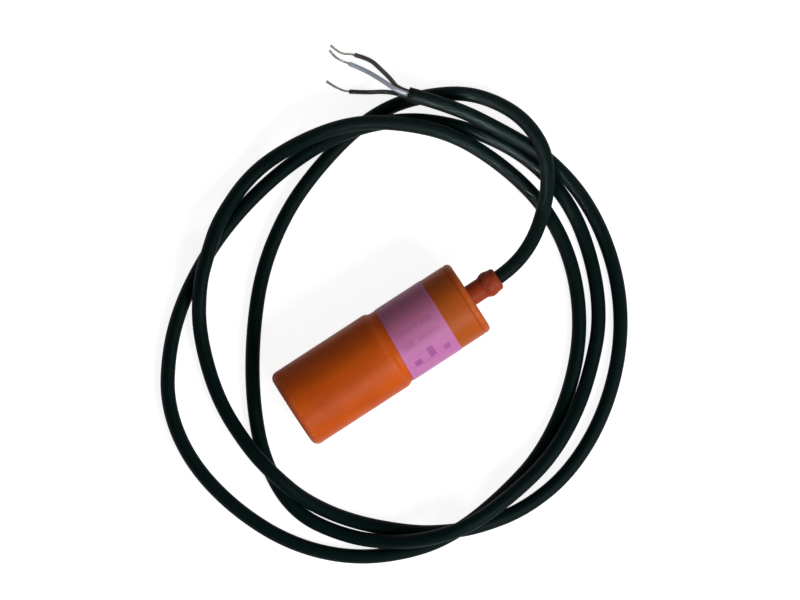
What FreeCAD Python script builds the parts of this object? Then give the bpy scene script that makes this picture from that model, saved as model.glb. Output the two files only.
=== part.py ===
"""Capacitive level sensor with a smooth plastic barrel, its gland and its free three-core cable.

Sizes are in millimetres. +X runs along the barrel from the sensing face to the cable outlet and +Z is up.
The sensor lies on its side, and the origin is on the surface under the middle of barrel and gland.
"""
import FreeCAD, Part

import math
import os

from FreeCAD import Vector

# Barrel
BARREL_LENGTH = 85.5
REAR_LENGTH = 41.0
FRONT_DIAMETER = 34.0
SHOULDER_STEP = 1.0
SHOULDER_TAPER = 3.4
FRONT_EDGE_ROUND = 3.0
REAR_WALL = 2.2
FACE_WALL = 2.0
FLOOR_ROUND = 0.6
SEAM_CHAMFER = 0.3

# Fits
SLIP = 0.05
GLUE_LINE = 0.02
RUNNING = 0.05
CUT_PAST = 1.0

# Label band
LABEL_SETBACK = 1.3
LABEL_WIDTH = 22.4
LABEL_THICKNESS = 0.2
LABEL_GAP = 1.2

# Rear cover
COVER_WALL = 3.0
COVER_EDGE_ROUND = 2.0
SPIGOT_LENGTH = 5.0
SPIGOT_WALL = 1.8
SEAL_GROOVE_WIDTH = 1.4
SEAL_GROOVE_DEPTH = 0.9
SEAL_GROOVE_SETBACK = 1.8

# Adjuster port and lamp window, side by side above the axis
PLUG_HEAD_RADIUS = 2.5
PLUG_HEAD_THICKNESS = 0.9
PLUG_SHANK_RADIUS = 1.7
PLUG_SHANK_LENGTH = 3.4
PLUG_RING_THICKNESS = 0.7
PLUG_SLOT_WIDTH = 0.8
PLUG_SLOT_DEPTH = 0.5
WINDOW_RADIUS = 1.3
WINDOW_FLANGE_LIP = 0.4
WINDOW_FLANGE_THICKNESS = 1.0
WINDOW_CROWN = 0.25

# Cable and gland
CABLE_DIAMETER = 5.9
CABLE_STRAIGHT = 9.0
CORE_DIAMETER = 1.9
CORE_GAP = 0.11
STRAND_DIAMETER = 1.0
GLAND_LENGTH = 13.5
NECK_WALL = 1.45
NECK_LENGTH = 5.2
COLLAR_HEIGHT = 0.95
COLLAR_SWELL = 3.4
TIP_DROP = 0.55
TIP_ROUND = 1.4
MOUTH_CLEARANCE = 0.35
MOUTH_DEPTH = 3.0
GLAND_FLANGE_LIP = 1.1
GLAND_FLANGE_THICKNESS = 2.0
GATE_MARK_RADIUS = 0.8
GATE_MARK_DEPTH = 0.25
CRIMP_LENGTH = 3.0
CRIMP_WALL = 0.9
CABLE_INNER_REACH = 3.0

# Electrodes behind the sensing face, from the housing's bore inwards
FOIL_THICKNESS = 0.3
CARRIER_CLEARANCE = 0.4
CARRIER_THICKNESS = 1.05
GUARD_MARGIN = 0.5
GUARD_WIDTH = 3.9
ELECTRODE_GAP = 2.0
PIN_RADIUS = 0.5
PIN_ON_BOARD = 2.9

# Screening sleeve
SLEEVE_CLEARANCE = 0.2
SLEEVE_WALL = 0.3
SLEEVE_REAR_SETBACK = 15.1
SLEEVE_SLOT = 3.0

# Circuit board, lying flat on the axis
BOARD_SETBACK = 6.6
BOARD_REAR_SETBACK = 14.5
BOARD_SIDE_GAP = 1.3
BOARD_THICKNESS = 1.0
RESIN_PAST_BOARD = 0.5

# Pieces soldered on the board: place as a share of its length, then of its half width
PIECE_LIFT = 0.15
CHIP_WIDTH = 3.9
CHIP_HEIGHT = 1.5
CHIP_LEAD_WIDTH = 0.4
CHIP_LEAD_THICKNESS = 0.2
CHIP_LEAD_PITCH = 1.27
CHIP_LEAD_REACH = 1.0
OSCILLATOR_PLACE = (0.24, 0.0)
OSCILLATOR_LENGTH = 8.65
OSCILLATOR_LEADS_PER_SIDE = 7
COMPARATOR_PLACE = (0.48, 0.21)
COMPARATOR_LENGTH = 4.9
COMPARATOR_LEADS_PER_SIDE = 4
TRANSISTOR_PLACE = (0.65, -0.33)
TRANSISTOR_LENGTH = 6.5
TRANSISTOR_WIDTH = 3.5
TRANSISTOR_HEIGHT = 1.6
TRANSISTOR_LEAD_REACH = 1.75
TRANSISTOR_LEAD_THICKNESS = 0.3
TRANSISTOR_LEAD_WIDTH = 0.7
TRANSISTOR_TAB_WIDTH = 3.0
TRANSISTOR_LEAD_PITCH = 2.3
DIODE_PLACE = (0.82, 0.46)
DIODE_LENGTH = 4.3
DIODE_WIDTH = 2.6
DIODE_HEIGHT = 2.1
DIODE_TAB_WIDTH = 1.5
DIODE_TAB_REACH = 0.35
DIODE_TAB_HEIGHT = 1.25
CAN_PLACE = 0.62
CAN_RADIUS = 3.15
CAN_HEIGHT = 5.4
CAN_BASE = 6.6
CAN_BASE_THICKNESS = 0.9
RESISTOR_SHARES = [(0.09, -0.5), (0.12, 0.42), (0.37, -0.46), (0.38, 0.58), (0.51, -0.54), (0.57, 0.67)]
RESISTOR_LENGTH = 2.0
RESISTOR_WIDTH = 1.25
RESISTOR_HEIGHT = 0.55
CAPACITOR_SHARES = [(0.19, -0.67), (0.27, 0.67), (0.44, -0.67), (0.68, 0.5)]
CAPACITOR_LENGTH = 2.0
CAPACITOR_WIDTH = 1.25
CAPACITOR_HEIGHT = 1.1

# Cores inside the housing: bend and landing as shares of the gap between jacket and board
INNER_CORE_BEND = 0.29
INNER_CORE_LANDING = 0.37
INNER_CORE_LAP = 3.0
INNER_CORE_GAP = 0.7
INNER_CORE_ORDER = {"black": -1, "blue": 0, "brown": 1}

# Sensitivity trimmer, overhanging the board's rear end
TRIMMER_LENGTH = 9.5
TRIMMER_WIDTH = 4.8
TRIMMER_HEIGHT = 5.0
TRIMMER_OVERHANG = 3.5
TRIMMER_SCREW_RADIUS = 0.8
TRIMMER_SCREW_DEPTH = 7.0
TRIMMER_HEAD_RADIUS = 1.15
TRIMMER_HEAD_LENGTH = 1.4
TRIMMER_SLOT_WIDTH = 0.45
TRIMMER_SLOT_DEPTH = 0.6

# Status lamp
LAMP_RADIUS = 1.45
LAMP_RIM_LIP = 0.2
LAMP_RIM_THICKNESS = 0.8
LAMP_BODY_LENGTH = 3.0
LAMP_LEAD = 0.5
LAMP_LEAD_PITCH = 1.8
LAMP_LEAD_FOOT = 2.0
LAMP_OVERHANG = 4.0
LAMP_WINDOW_GAP = 0.8

# Places worked out from the sizes above
FACE_X = -(BARREL_LENGTH + GLAND_LENGTH) / 2
REAR_X = FACE_X + BARREL_LENGTH
GLAND_END_X = REAR_X + GLAND_LENGTH
FRONT_R = FRONT_DIAMETER / 2
AXIS_Z = FRONT_R
REAR_R = FRONT_R - SHOULDER_STEP
BORE_R = REAR_R - REAR_WALL
SHOULDER_X = REAR_X - REAR_LENGTH
SHOULDER_END_X = SHOULDER_X + SHOULDER_TAPER
HOUSING_END_X = REAR_X - COVER_WALL
FLOOR_X = FACE_X + FACE_WALL
SPIGOT_R = BORE_R - SLIP
SPIGOT_INNER_R = SPIGOT_R - SPIGOT_WALL
CABLE_R = CABLE_DIAMETER / 2
NECK_R = CABLE_R + NECK_WALL
GLAND_FLANGE_R = NECK_R + GLAND_FLANGE_LIP
MOUTH_X = GLAND_END_X - MOUTH_DEPTH
GLAND_FLANGE_X = HOUSING_END_X - GLAND_FLANGE_THICKNESS
CRIMP_X = GLAND_FLANGE_X - CRIMP_LENGTH
CABLE_INNER_X = CRIMP_X - CABLE_INNER_REACH
CORE_R = CORE_DIAMETER / 2
CORE_SPREAD = (CORE_DIAMETER + CORE_GAP) / math.sqrt(3)
STRAND_R = STRAND_DIAMETER / 2
FOIL_X = FLOOR_X + GLUE_LINE
CARRIER_X = FOIL_X + FOIL_THICKNESS
CARRIER_BACK_X = CARRIER_X + CARRIER_THICKNESS
CARRIER_R = BORE_R - CARRIER_CLEARANCE
GUARD_OUTER_R = CARRIER_R - GUARD_MARGIN
GUARD_INNER_R = GUARD_OUTER_R - GUARD_WIDTH
ELECTRODE_R = GUARD_INNER_R - ELECTRODE_GAP
GUARD_PIN_OFFSET = (GUARD_INNER_R + GUARD_OUTER_R) / 2
SLEEVE_R = BORE_R - SLEEVE_CLEARANCE
BOARD_X = CARRIER_BACK_X + BOARD_SETBACK
BOARD_END_X = HOUSING_END_X - BOARD_REAR_SETBACK
BOARD_LENGTH = BOARD_END_X - BOARD_X
BOARD_HALF_WIDTH = SLEEVE_R - SLEEVE_WALL - BOARD_SIDE_GAP
BOARD_TOP = AXIS_Z + BOARD_THICKNESS / 2
BOARD_BOTTOM = AXIS_Z - BOARD_THICKNESS / 2
RESIN_END_X = BOARD_END_X + RESIN_PAST_BOARD
TRIMMER_END_X = BOARD_END_X + TRIMMER_OVERHANG
TRIMMER_X = TRIMMER_END_X - TRIMMER_LENGTH
PORT_Z = BOARD_TOP + TRIMMER_HEIGHT / 2
PORT_DISTANCE = (SPIGOT_INNER_R + GLAND_FLANGE_R) / 2
PORT_OFFSET = math.sqrt(PORT_DISTANCE ** 2 - (PORT_Z - AXIS_Z) ** 2)
LAMP_RIM_X = BOARD_END_X + LAMP_OVERHANG
LAMP_END_X = LAMP_RIM_X + LAMP_RIM_THICKNESS + LAMP_BODY_LENGTH + LAMP_RADIUS

# The free cable's route, chosen by hand: out of the gland and down over the loops, three times round the
# sensor on the surface, and back over its own first loop. LOW is the height of the cable on the surface.
LOW = CABLE_R
CABLE_ROUTE = [
    (MOUTH_X, 0, AXIS_Z), (MOUTH_X + CABLE_STRAIGHT, 0, AXIS_Z), (68, 4, 15.5), (78.5, 11.5, 13),
    (87.5, 21, 13.5), (93.5, 33, 13.5), (93.5, 46.5, 11.1), (89, 58, 6.3), (80.5, 69, LOW),
    (68, 76.5, LOW), (52, 82, LOW), (34, 82, LOW), (12.5, 77, LOW), (-8, 69, LOW), (-29, 54.5, LOW),
    (-46.5, 34.5, LOW), (-61, 12, LOW), (-70.5, -11, LOW), (-71.5, -35, LOW), (-59.5, -54, LOW),
    (-45, -66.5, 8), (-30, -74, 16.5), (-13, -78, 16.5), (8.5, -76.5, 11.4), (28, -72.5, 9.5),
    (46.5, -63, 7.3), (61, -51.5, LOW), (75, -37, LOW), (85, -16.5, LOW), (90.5, 7.5, LOW),
    (87.5, 31, LOW), (77, 51.5, LOW), (61.5, 68.5, 4.1), (44.5, 78.5, 9.8), (25.5, 84, 9.8),
    (3, 84.5, LOW), (-20.5, 80.5, LOW), (-41.5, 73.5, LOW), (-63, 61.5, LOW), (-78.5, 47.5, LOW),
    (-91, 29.5, LOW), (-95.5, 6, LOW), (-91, -20, LOW), (-79.5, -45, LOW), (-61, -64, LOW),
    (-37.5, -75, LOW), (-18, -77.5, LOW), (3.5, -75, LOW), (25.5, -69.5, LOW), (48, -55.5, LOW),
    (66.5, -36, LOW), (78, -12.5, LOW), (81.5, 11.5, LOW), (77, 34.5, LOW), (66.5, 58, 8.3),
    (50.5, 74, 15.9), (33.5, 85, 17.1), (11.5, 90, 11.2), (-11, 90, 3.5), (-32.5, 81, 8.8),
    (-43.5, 72, 10.6), (-53.5, 63, 10), (-64.5, 46.5, 3.3), (-72.5, 20.5, LOW), (-72.5, -3.5, 10.1),
    (-69.5, -19, 10.1), (-65, -33.5, 5.9), (-54, -50.5, LOW), (-36.5, -67, 5.3), (-24.5, -74.5, 9.9),
    (-12.5, -80, 9.8), (7.5, -84.5, 3.3), (31, -82, LOW), (55.5, -70, LOW), (77, -50, LOW),
    (91, -25.5, LOW), (97, 3.5, LOW), (93.5, 29, 6.6), (83.5, 48.5, 8.7), (72, 68, 9.2), (59.5, 82, 9.8),
]

# The three cores beyond the stripped jacket, after their first points at the jacket's end.
CORE_ROUTES = {
    "brown": [(56.9, 91, 7.1), (55.6, 97, 4.1), (54.2, 102.6, 1.5), (50, 107.2, CORE_R)],
    "blue": [(54.6, 90.2, 8.5), (51.9, 96.3, 5.1), (48.9, 101.6, 2.0), (46.2, 105.4, CORE_R)],
    "black": [(51.9, 88.2, 6.9), (46.0, 91.6, 2.8), (40.2, 95.9, CORE_R)],
}
CORE_FIRST_RUN = 4.6

# The bare strands beyond each core's end, after their first point there.
STRAND_ROUTES = {
    "brown": [(46.6, 109.8, STRAND_R), (44.9, 112.4, STRAND_R), (44.0, 115.8, STRAND_R)],
    "blue": [(44.0, 108.6, STRAND_R), (42.8, 111.2, STRAND_R), (42.5, 114.3, STRAND_R)],
    "black": [(37.6, 98.6, STRAND_R), (36.0, 101.3, STRAND_R), (34.6, 104.5, STRAND_R)],
}
STRAND_FIRST_RUN = 1.6

# Angles of the cores in the cable's cross-section, seen along the cable
CORE_ANGLES = {"brown": 330, "blue": 90, "black": 210}


# Shapes used throughout

def rod(x0, x1, radius, y=0.0, z=AXIS_Z):
    """Round bar along X between two places."""
    return Part.makeCylinder(radius, x1 - x0, Vector(x0, y, z), Vector(1, 0, 0))


def block(x0, x1, y0, y1, z0, z1):
    """Rectangular block between two corners."""
    return Part.makeBox(x1 - x0, y1 - y0, z1 - z0, Vector(x0, y0, z0))


def turned(steps, y=0.0, z=AXIS_Z):
    """Solid turned about a line along X.

    A step is a corner (x, r), or an arc given by its middle and its end (x, r, x, r). The outline closes
    itself from the last step to the first.
    """
    def at(x, r):
        return Vector(x, y, z + r)

    edges = []
    here = at(*steps[0])
    for step in steps[1:]:
        there = at(*step[-2:])
        if len(step) == 4:
            edges.append(Part.Arc(here, at(*step[:2]), there).toShape())
        else:
            edges.append(Part.LineSegment(here, there).toShape())
        here = there
    edges.append(Part.LineSegment(here, at(*steps[0])).toShape())
    face = Part.Face(Part.Wire(edges))
    return face.revolve(Vector(0, y, z), Vector(1, 0, 0), 360)


def corner(x, r, radius, side_x, side_r):
    """Middle point of a quarter-round whose centre lies at side_x, side_r from the corner at x, r."""
    share = 1 - math.sqrt(0.5)
    return x + side_x * radius * share, r + side_r * radius * share


def eased(x0, r0, x1, r1):
    """Two arcs that lead from one radius to another, level with the axis at both ends."""
    half_length = (x1 - x0) / 2
    half_rise = (r1 - r0) / 2
    arc_radius = (half_length ** 2 + half_rise ** 2) / (2 * half_rise)
    quarter = math.atan(half_rise / half_length)
    dx = arc_radius * math.sin(quarter)
    dr = arc_radius * (1 - math.cos(quarter))
    middle = (x0 + half_length, r0 + half_rise)
    return [(x0 + dx, r0 + dr, *middle), (x1 - dx, r1 - dr, x1, r1)]


def ring_seal(x, centre_radius, thickness, y=0.0, z=AXIS_Z):
    """Ring seal of round section about a line along X."""
    return Part.makeTorus(centre_radius, thickness / 2, Vector(x, y, z), Vector(1, 0, 0))


def bent_tube(points, radius, name):
    """Round tube along straight runs joined by tangent arcs, each as large as its two runs allow.

    An arc's radius is 0.45 of the shorter run, divided by the tangent of half the turn.
    """
    corners = [Vector(*p) for p in points]
    edges = []
    radii = []
    start = corners[0]
    for before, here, after in zip(corners, corners[1:], corners[2:]):
        back = before - here
        ahead = after - here
        half_turn = (math.pi - back.getAngle(ahead)) / 2
        reach = 0.45 * min(back.Length, ahead.Length)
        arc_radius = reach / math.tan(half_turn)
        radii.append(arc_radius)
        back.normalize()
        ahead.normalize()
        arc_start = here + back * reach
        arc_end = here + ahead * reach
        inward = (back + ahead).normalize()
        arc_middle = here + inward * (arc_radius / math.cos(half_turn) - arc_radius)
        edges.append(Part.LineSegment(start, arc_start).toShape())
        edges.append(Part.Arc(arc_start, arc_middle, arc_end).toShape())
        start = arc_end
    edges.append(Part.LineSegment(start, corners[-1]).toShape())
    path = Part.Wire(edges)
    section = Part.Wire(Part.makeCircle(radius, corners[0], corners[1] - corners[0]))
    tube = path.makePipeShell([section], True, False)
    expected = math.pi * radius ** 2 * path.Length
    print(f"{name}: length {path.Length:.1f}, volume {tube.Volume:.1f} against {expected:.1f},",
          f"smallest radii {[round(r, 1) for r in sorted(radii)[:4]]}")
    return tube


# Housing and what closes it

def make_sensor_housing():
    """One moulded pot: closed sensing face, thick front barrel, eased shoulder, slimmer rear."""
    front = FRONT_EDGE_ROUND
    return turned([
        (FACE_X, 0),
        (FACE_X, FRONT_R - front),
        (*corner(FACE_X, FRONT_R, front, 1, -1), FACE_X + front, FRONT_R),
        (SHOULDER_X, FRONT_R),
        *eased(SHOULDER_X, FRONT_R, SHOULDER_END_X, REAR_R),
        (HOUSING_END_X - SEAM_CHAMFER, REAR_R),
        (HOUSING_END_X, REAR_R - SEAM_CHAMFER),
        (HOUSING_END_X, BORE_R),
        (FLOOR_X + FLOOR_ROUND, BORE_R),
        (*corner(FLOOR_X, BORE_R, FLOOR_ROUND, 1, -1), FLOOR_X, BORE_R - FLOOR_ROUND),
        (FLOOR_X, 0),
    ])


def make_label_band():
    """Printed film wrapped once round the slim rear part, its two ends meeting underneath."""
    start = SHOULDER_END_X + LABEL_SETBACK
    inner = REAR_R + GLUE_LINE
    outer = inner + LABEL_THICKNESS
    end = start + LABEL_WIDTH
    band = rod(start, end, outer)
    band = band.cut(rod(start - CUT_PAST, end + CUT_PAST, inner))
    half = LABEL_GAP / 2
    return band.cut(block(start - CUT_PAST, end + CUT_PAST, -half, half, AXIS_Z - outer - CUT_PAST, AXIS_Z))


def make_rear_cover():
    """Round end cover with a spigot in the bore, a seal groove, and holes for gland, port and window."""
    groove_r = SPIGOT_R - SEAL_GROOVE_DEPTH
    spigot_end = HOUSING_END_X - SPIGOT_LENGTH
    groove_end = HOUSING_END_X - SEAL_GROOVE_SETBACK
    groove_start = groove_end - SEAL_GROOVE_WIDTH
    hole_r = NECK_R + SLIP
    edge = COVER_EDGE_ROUND
    cover = turned([
        (HOUSING_END_X, hole_r),
        (REAR_X, hole_r),
        (REAR_X, REAR_R - edge),
        (*corner(REAR_X, REAR_R, edge, -1, -1), REAR_X - edge, REAR_R),
        (HOUSING_END_X + SEAM_CHAMFER, REAR_R),
        (HOUSING_END_X, REAR_R - SEAM_CHAMFER),
        (HOUSING_END_X, SPIGOT_R),
        (groove_end, SPIGOT_R),
        (groove_end, groove_r),
        (groove_start, groove_r),
        (groove_start, SPIGOT_R),
        (spigot_end, SPIGOT_R),
        (spigot_end, SPIGOT_INNER_R),
        (HOUSING_END_X, SPIGOT_INNER_R),
    ])
    port = rod(spigot_end - CUT_PAST, REAR_X + CUT_PAST, PLUG_SHANK_RADIUS + SLIP, -PORT_OFFSET, PORT_Z)
    recess_depth = PLUG_HEAD_THICKNESS + PLUG_RING_THICKNESS + 2 * GLUE_LINE
    recess = rod(REAR_X - recess_depth, REAR_X + CUT_PAST, PLUG_HEAD_RADIUS + SLIP, -PORT_OFFSET, PORT_Z)
    window = rod(HOUSING_END_X - CUT_PAST, REAR_X + CUT_PAST, WINDOW_RADIUS + SLIP, PORT_OFFSET, PORT_Z)
    return cover.cut(port).cut(recess).cut(window)


def make_cover_seal_ring():
    """Ring seal in the cover's groove, bearing on the housing's bore."""
    groove_floor = SPIGOT_R - SEAL_GROOVE_DEPTH
    thickness = BORE_R - groove_floor - 2 * GLUE_LINE
    x = HOUSING_END_X - SEAL_GROOVE_SETBACK - SEAL_GROOVE_WIDTH / 2
    return ring_seal(x, groove_floor + GLUE_LINE + thickness / 2, thickness)


def make_trimmer_plug():
    """Slotted plug that closes the adjuster's port, its head flush with the cover."""
    head_x = REAR_X - PLUG_HEAD_THICKNESS
    plug = rod(head_x, REAR_X, PLUG_HEAD_RADIUS, -PORT_OFFSET, PORT_Z)
    plug = plug.fuse(rod(head_x - PLUG_SHANK_LENGTH, head_x, PLUG_SHANK_RADIUS, -PORT_OFFSET, PORT_Z))
    half = PLUG_SLOT_WIDTH / 2
    reach = PLUG_HEAD_RADIUS + CUT_PAST
    slot = block(REAR_X - PLUG_SLOT_DEPTH, REAR_X + CUT_PAST, -PORT_OFFSET - reach, -PORT_OFFSET + reach,
                 PORT_Z - half, PORT_Z + half)
    return plug.removeSplitter().cut(slot)


def make_plug_seal_ring():
    """Ring seal under the plug's head."""
    x = REAR_X - PLUG_HEAD_THICKNESS - GLUE_LINE - PLUG_RING_THICKNESS / 2
    centre = PLUG_SHANK_RADIUS + GLUE_LINE + PLUG_RING_THICKNESS / 2
    return ring_seal(x, centre, PLUG_RING_THICKNESS, -PORT_OFFSET, PORT_Z)


def make_lamp_window():
    """Clear light guide in the cover, held from behind by its flange."""
    start_x = LAMP_END_X + LAMP_WINDOW_GAP
    flange_x = HOUSING_END_X - WINDOW_FLANGE_THICKNESS
    flange_r = WINDOW_RADIUS + WINDOW_FLANGE_LIP
    crown_radius = (WINDOW_RADIUS ** 2 + WINDOW_CROWN ** 2) / (2 * WINDOW_CROWN)
    half_angle = math.asin(WINDOW_RADIUS / crown_radius) / 2
    crown_drop = crown_radius * (1 - math.cos(half_angle))
    crown_middle = (REAR_X + WINDOW_CROWN - crown_drop, crown_radius * math.sin(half_angle))
    return turned([
        (start_x, 0),
        (start_x, WINDOW_RADIUS),
        (flange_x, WINDOW_RADIUS),
        (flange_x, flange_r),
        (HOUSING_END_X, flange_r),
        (HOUSING_END_X, WINDOW_RADIUS),
        (REAR_X, WINDOW_RADIUS),
        (*crown_middle, REAR_X + WINDOW_CROWN, 0),
    ], PORT_OFFSET, PORT_Z)


# Gland and the cable's held end

def make_cable_gland():
    """Moulded strain relief: flange behind the cover, neck, and swelling collar round the cable."""
    bore_r = CABLE_R + GLUE_LINE
    collar_r = NECK_R + COLLAR_HEIGHT
    tip_r = collar_r - TIP_DROP
    mouth_r = CABLE_R + MOUTH_CLEARANCE
    neck_end = REAR_X + NECK_LENGTH
    collar_x = neck_end + COLLAR_SWELL
    tip_x = GLAND_END_X - TIP_ROUND
    gland = turned([
        (GLAND_FLANGE_X, bore_r),
        (GLAND_FLANGE_X, GLAND_FLANGE_R),
        (HOUSING_END_X, GLAND_FLANGE_R),
        (HOUSING_END_X, NECK_R),
        (neck_end, NECK_R),
        *eased(neck_end, NECK_R, collar_x, collar_r),
        *eased(collar_x, collar_r, tip_x, tip_r),
        (*corner(GLAND_END_X, tip_r, TIP_ROUND, -1, -1), GLAND_END_X, tip_r - TIP_ROUND),
        (GLAND_END_X, mouth_r),
        (MOUTH_X, mouth_r),
        (MOUTH_X, bore_r),
    ])
    top = Vector(collar_x, 0, AXIS_Z + collar_r - GATE_MARK_DEPTH)
    return gland.cut(Part.makeCylinder(GATE_MARK_RADIUS, 2 * GATE_MARK_DEPTH, top))


def make_cable_crimp():
    """Crimped ring on the jacket, which stops the cable from being pulled out through the gland."""
    inner = CABLE_R + GLUE_LINE
    ring = rod(CRIMP_X, GLAND_FLANGE_X, inner + CRIMP_WALL)
    return ring.cut(rod(CRIMP_X - CUT_PAST, GLAND_FLANGE_X + CUT_PAST, inner))


def make_cable_inner_length():
    """The jacketed end of the cable inside the gland and the housing."""
    return rod(CABLE_INNER_X, MOUTH_X, CABLE_R)


def core_offset(colour):
    """Place of a core in the cable's cross-section, sideways and up."""
    angle = math.radians(CORE_ANGLES[colour])
    return CORE_SPREAD * math.cos(angle), CORE_SPREAD * math.sin(angle)


def make_inner_core(colour):
    """Core from the jacket's inner end to its place on top of the board."""
    side, up = core_offset(colour)
    rest_z = BOARD_TOP + CORE_R
    y = INNER_CORE_ORDER[colour] * (CORE_DIAMETER + INNER_CORE_GAP)
    gap = CABLE_INNER_X - BOARD_END_X
    points = [
        (CABLE_INNER_X, side, AXIS_Z + up),
        (CABLE_INNER_X - gap * INNER_CORE_BEND, side, AXIS_Z + up),
        (BOARD_END_X + gap * INNER_CORE_LANDING, y, rest_z),
        (BOARD_END_X - INNER_CORE_LAP, y, rest_z),
    ]
    return bent_tube(points, CORE_R, f"inner_core_{colour}")


# Electrodes, pins and screening sleeve

def make_active_electrode():
    """Copper disc behind the sensing face."""
    return rod(FOIL_X, CARRIER_X, ELECTRODE_R)


def make_guard_ring():
    """Copper ring round the active electrode."""
    ring = rod(FOIL_X, CARRIER_X, GUARD_OUTER_R)
    return ring.cut(rod(FOIL_X - CUT_PAST, CARRIER_X + CUT_PAST, GUARD_INNER_R))


def electrode_pin(y, radius, start_x):
    """Pin from behind the foil through the carrier, along the top of the board."""
    return rod(start_x, BOARD_X + PIN_ON_BOARD, radius, y, BOARD_TOP + PIN_RADIUS)


def make_electrode_carrier():
    """Round insulating board that carries the two foils and lets the pins through."""
    carrier = rod(CARRIER_X, CARRIER_BACK_X, CARRIER_R)
    for y in (0, GUARD_PIN_OFFSET):
        carrier = carrier.cut(electrode_pin(y, PIN_RADIUS + GLUE_LINE, CARRIER_X - CUT_PAST))
    return carrier


def make_screening_sleeve():
    """Thin rolled sleeve round the front of the board, open along its underside."""
    end = BOARD_END_X - SLEEVE_REAR_SETBACK
    sleeve = rod(CARRIER_BACK_X, end, SLEEVE_R)
    sleeve = sleeve.cut(rod(CARRIER_BACK_X - CUT_PAST, end + CUT_PAST, SLEEVE_R - SLEEVE_WALL))
    half = SLEEVE_SLOT / 2
    return sleeve.cut(block(CARRIER_BACK_X - CUT_PAST, end + CUT_PAST, -half, half, 0, AXIS_Z))


# Board and what is on it

def make_circuit_board():
    """Bare board, flat on the axis."""
    return block(BOARD_X, BOARD_END_X, -BOARD_HALF_WIDTH, BOARD_HALF_WIDTH, BOARD_BOTTOM, BOARD_TOP)


def board_point(place):
    """Place on the board, from its shares of the board's length and half width."""
    along, across = place
    return BOARD_X + along * BOARD_LENGTH, across * BOARD_HALF_WIDTH


def body_block(place, length, width, height, lift):
    """Block centred on its place on the board, lifted by a small gap."""
    x, y = board_point(place)
    low = BOARD_TOP + lift
    return block(x - length / 2, x + length / 2, y - width / 2, y + width / 2, low, low + height)


def chip(place, length, leads_per_side):
    """Flat integrated circuit with bent leads along both sides, standing on the board."""
    x, y = board_point(place)
    half = CHIP_WIDTH / 2
    shape = body_block(place, length, CHIP_WIDTH, CHIP_HEIGHT, PIECE_LIFT)
    middle = BOARD_TOP + PIECE_LIFT + CHIP_HEIGHT / 2
    leads = []
    for i in range(leads_per_side):
        centre = x + (i - (leads_per_side - 1) / 2) * CHIP_LEAD_PITCH
        x0 = centre - CHIP_LEAD_WIDTH / 2
        x1 = centre + CHIP_LEAD_WIDTH / 2
        for side in (-1, 1):
            knee = half + CHIP_LEAD_REACH / 2
            toe = half + CHIP_LEAD_REACH
            for near, far, low, high in (
                (half, knee, middle - CHIP_LEAD_THICKNESS, middle),
                (knee - CHIP_LEAD_THICKNESS, knee, BOARD_TOP, middle),
                (knee - CHIP_LEAD_THICKNESS, toe, BOARD_TOP, BOARD_TOP + CHIP_LEAD_THICKNESS),
            ):
                y0, y1 = sorted((y + side * near, y + side * far))
                leads.append(block(x0, x1, y0, y1, low, high))
    return shape.fuse(leads).removeSplitter()


def make_oscillator_chip():
    """Oscillator and evaluation circuit near the electrodes."""
    return chip(OSCILLATOR_PLACE, OSCILLATOR_LENGTH, OSCILLATOR_LEADS_PER_SIDE)


def make_comparator_chip():
    """Smaller switching circuit in the middle of the board."""
    return chip(COMPARATOR_PLACE, COMPARATOR_LENGTH, COMPARATOR_LEADS_PER_SIDE)


def make_output_transistor():
    """Output transistor with a cooling tab on one side and three leads on the other."""
    x, y = board_point(TRANSISTOR_PLACE)
    inner = TRANSISTOR_WIDTH / 2 - PIECE_LIFT
    outer = TRANSISTOR_WIDTH / 2 + TRANSISTOR_LEAD_REACH
    top = BOARD_TOP + TRANSISTOR_LEAD_THICKNESS
    feet = [(0, TRANSISTOR_TAB_WIDTH, y + inner, y + outer)]
    for step in (-1, 0, 1):
        feet.append((step * TRANSISTOR_LEAD_PITCH, TRANSISTOR_LEAD_WIDTH, y - outer, y - inner))
    blocks = [block(x + dx - width / 2, x + dx + width / 2, y0, y1, BOARD_TOP, top)
              for dx, width, y0, y1 in feet]
    body = body_block(TRANSISTOR_PLACE, TRANSISTOR_LENGTH, TRANSISTOR_WIDTH, TRANSISTOR_HEIGHT, PIECE_LIFT)
    return body.fuse(blocks).removeSplitter()


def make_suppressor_diode():
    """Surge suppressor near the cable's cores, with a wrapped tab at each end."""
    x, y = board_point(DIODE_PLACE)
    half = DIODE_TAB_WIDTH / 2
    end = DIODE_LENGTH / 2
    tabs = [block(x + side * end - DIODE_TAB_REACH, x + side * end + DIODE_TAB_REACH,
                  y - half, y + half, BOARD_TOP, BOARD_TOP + DIODE_TAB_HEIGHT) for side in (-1, 1)]
    body = body_block(DIODE_PLACE, DIODE_LENGTH, DIODE_WIDTH, DIODE_HEIGHT, PIECE_LIFT)
    return body.fuse(tabs).removeSplitter()


def make_buffer_capacitor():
    """Round capacitor can hanging under the board on its square base."""
    x = BOARD_X + CAN_PLACE * BOARD_LENGTH
    half = CAN_BASE / 2
    base_bottom = BOARD_BOTTOM - CAN_BASE_THICKNESS
    base = block(x - half, x + half, -half, half, base_bottom, BOARD_BOTTOM)
    can = Part.makeCylinder(CAN_RADIUS, CAN_HEIGHT, Vector(x, 0, base_bottom - CAN_HEIGHT))
    return base.fuse(can).removeSplitter()


def chip_group(shares, length, width, height):
    """Small blocks soldered on the board, one for each place."""
    return Part.makeCompound([body_block(place, length, width, height, 0) for place in shares])


def trimmer_block():
    """Outer form of the long trimmer lying on the board."""
    half = TRIMMER_WIDTH / 2
    return block(TRIMMER_X, TRIMMER_END_X, -PORT_OFFSET - half, -PORT_OFFSET + half,
                 BOARD_TOP, BOARD_TOP + TRIMMER_HEIGHT)


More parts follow.
